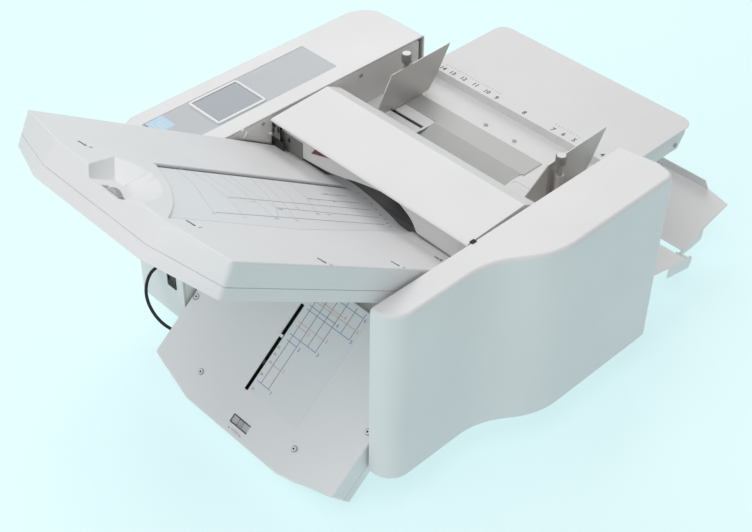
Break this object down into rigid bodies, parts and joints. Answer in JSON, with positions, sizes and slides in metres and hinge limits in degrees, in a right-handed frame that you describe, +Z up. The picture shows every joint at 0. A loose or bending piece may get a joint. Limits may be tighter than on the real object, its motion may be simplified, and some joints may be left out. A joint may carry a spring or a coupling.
{
  "type": "paper folding machine",
  "caption": "Desk-top buckle paper folder: housings either side of a roller block, upper and lower fold plates with scales, feed table with side guides, hinged top cover, folding delivery tray",
  "frame": {"origin": "centre of the footprint on the desk, under the machine", "axes": "+X towards the feed table and delivery tray, -X towards the fold plates, +Y towards the housing with the control panel, +Z up"},
  "size_m": [0.9504, 0.552, 0.5004],
  "materials": {
    "housing_white": "fine textured white moulding",
    "sheet_white": "white powder coat on folded sheet",
    "frame_grey": "warm grey powder coat",
    "bracket_black": "satin black paint",
    "stainless": "brushed stainless sheet",
    "bright_steel": "turned and plated steel",
    "roller_grey": "ground rubber on steel",
    "gear_plastic": "natural acetal",
    "black_plastic": "black moulded plastic",
    "wheel_grey": "grey ribbed plastic",
    "panel_blue_grey": "blue-grey film panel",
    "bezel_white": "white bezel",
    "screen_glass": "dark touch screen film",
    "board_green": "circuit board",
    "scale_film": "printed scale film",
    "rubber_black": "black rubber",
    "motor_grey": "plated steel can"
  },
  "bodies": {
    "root": {"base_pan": "frame_grey", "control_board": "board_green", "control_panel": "panel_blue_grey", "cover_hinge_brackets": "bracket_black", "delivery_deck": "sheet_white", "dial_window": "black_plastic", "drive_belts": "rubber_black", "drive_motor": "motor_grey", "exit_chute": "stainless", "far_cover": "housing_white", "far_side_frame": "frame_grey", "feed_deck": "sheet_white", "feed_table": "sheet_white", "frame_tie_bars": "bright_steel", "guide_sheet": "stainless", "inner_guard": "frame_grey", "lower_bottom_shell": "housing_white", "lower_fold_sheets": "stainless", "lower_scale_sheet": "scale_film", "lower_top_shell": "housing_white", "near_cover": "housing_white", "near_side_frame": "frame_grey", "panel_screws": "bright_steel", "plate_lead": "rubber_black", "plate_pins": "bright_steel", "power_inlet": "black_plastic", "power_supply": "motor_grey", "roller_bearings": "bright_steel", "rubber_feet": "rubber_black", "screen_bezel": "bezel_white", "separator_pad": "rubber_black", "switch_frame": "black_plastic", "touch_screen": "screen_glass", "upper_bottom_shell": "housing_white", "upper_fold_sheets": "stainless", "upper_scale_sheet": "scale_film", "upper_top_shell": "housing_white", "wheel_axles": "bright_steel"},
    "power_switch": {"power_switch": "black_plastic"},
    "top_cover": {"top_cover": "housing_white"},
    "near_guide": {"near_guide": "stainless"},
    "far_guide": {"far_guide": "stainless"},
    "near_guide_knob": {"near_guide_knob": "bright_steel"},
    "far_guide_knob": {"far_guide_knob": "bright_steel"},
    "fold_roller_1": {"fold_roller_1": "roller_grey", "fold_gear_1": "gear_plastic"},
    "fold_roller_2": {"fold_roller_2": "roller_grey", "fold_gear_2": "gear_plastic"},
    "fold_roller_3": {"fold_roller_3": "roller_grey", "fold_gear_3": "gear_plastic"},
    "fold_roller_4": {"fold_roller_4": "roller_grey", "fold_gear_4": "gear_plastic"},
    "feed_roller": {"feed_roller": "roller_grey"},
    "exit_roller": {"exit_roller": "roller_grey"},
    "motor_pulley": {"motor_pulley": "gear_plastic"},
    "upper_stop": {"upper_stop": "black_plastic"},
    "lower_stop": {"lower_stop": "black_plastic"},
    "upper_thumbwheel": {"upper_thumbwheel": "wheel_grey"},
    "lower_thumbwheel": {"lower_thumbwheel": "wheel_grey"},
    "delivery_tray": {"delivery_tray": "sheet_white"}
  },
  "joints": [
    {"name": "power_rocker", "type": "hinge", "parent": "root", "child": "power_switch", "pos_m": [-0.24407, 0.181, 0.123], "axis": [0, -1, 0], "range_deg": [0, 10]},
    {"name": "top_cover_hinge", "type": "hinge", "parent": "root", "child": "top_cover", "pos_m": [-0.08207, -0.0185, 0.31], "axis": [0, -1, 0], "range_deg": [0, 70]},
    {"name": "near_guide_slide", "type": "slide", "parent": "root", "child": "near_guide", "axis": [0, -1, 0], "range_m": [-0.048, 0.017]},
    {"name": "far_guide_slide", "type": "slide", "parent": "root", "child": "far_guide", "axis": [0, 1, 0], "range_m": [-0.048, 0.017]},
    {"name": "near_guide_lock", "type": "hinge", "parent": "near_guide", "child": "near_guide_knob", "pos_m": [0.10193, -0.1645, 0.301], "axis": [0, 0, 1], "range_deg": [-270, 0]},
    {"name": "far_guide_lock", "type": "hinge", "parent": "far_guide", "child": "far_guide_knob", "pos_m": [0.12693, 0.1275, 0.301], "axis": [0, 0, 1], "range_deg": [-270, 0]},
    {"name": "fold_roller_2_spin", "type": "hinge", "parent": "root", "child": "fold_roller_2", "pos_m": [-0.06526, -0.0185, 0.20195], "axis": [0, 1, 0], "continuous": true},
    {"name": "fold_roller_1_spin", "type": "hinge", "parent": "root", "child": "fold_roller_1", "pos_m": [-0.05021, -0.0185, 0.22557], "axis": [0, 1, 0], "continuous": true},
    {"name": "fold_roller_3_spin", "type": "hinge", "parent": "root", "child": "fold_roller_3", "pos_m": [-0.08951, -0.0185, 0.21595], "axis": [0, 1, 0], "continuous": true},
    {"name": "fold_roller_4_spin", "type": "hinge", "parent": "root", "child": "fold_roller_4", "pos_m": [-0.07926, -0.0185, 0.1777], "axis": [0, 1, 0], "continuous": true},
    {"name": "feed_roller_spin", "type": "hinge", "parent": "root", "child": "feed_roller", "pos_m": [0.00603, -0.0185, 0.26059], "axis": [0, 1, 0], "continuous": true},
    {"name": "exit_roller_spin", "type": "hinge", "parent": "root", "child": "exit_roller", "pos_m": [0.16593, -0.0185, 0.11019], "axis": [0, 1, 0], "continuous": true},
    {"name": "motor_spin", "type": "hinge", "parent": "root", "child": "motor_pulley", "pos_m": [0.07993, -0.0185, 0.18], "axis": [0, 1, 0], "continuous": true},
    {"name": "upper_stop_slide", "type": "slide", "parent": "root", "child": "upper_stop", "axis": [0.8434, 0, -0.5373], "range_m": [-0.03, 0.2]},
    {"name": "lower_stop_slide", "type": "slide", "parent": "root", "child": "lower_stop", "axis": [0.766, 0, 0.6428], "range_m": [-0.03, 0.08]},
    {"name": "upper_skew_wheel", "type": "hinge", "parent": "root", "child": "upper_thumbwheel", "pos_m": [-0.44462, -0.0225, 0.47564], "axis": [0.8434, 0, -0.5373], "range_deg": [-120, 120]},
    {"name": "lower_skew_wheel", "type": "hinge", "parent": "root", "child": "lower_thumbwheel", "pos_m": [-0.29691, -0.023, 0.03551], "axis": [0.766, 0, 0.6428], "range_deg": [-120, 120]},
    {"name": "delivery_tray_hinge", "type": "hinge", "parent": "root", "child": "delivery_tray", "pos_m": [0.35889, -0.0185, 0.04863], "axis": [0, -1, 0], "range_deg": [0, 80]}
  ],
  "couplings": [
    {"joint": "fold_roller_1_spin", "follows": "fold_roller_2_spin", "ratio": -1},
    {"joint": "fold_roller_3_spin", "follows": "fold_roller_2_spin", "ratio": -1},
    {"joint": "fold_roller_4_spin", "follows": "fold_roller_2_spin", "ratio": -1},
    {"joint": "feed_roller_spin", "follows": "fold_roller_2_spin", "ratio": 1},
    {"joint": "motor_spin", "follows": "fold_roller_2_spin", "ratio": 1.5556},
    {"joint": "exit_roller_spin", "follows": "fold_roller_2_spin", "ratio": 1.2727}
  ]
}
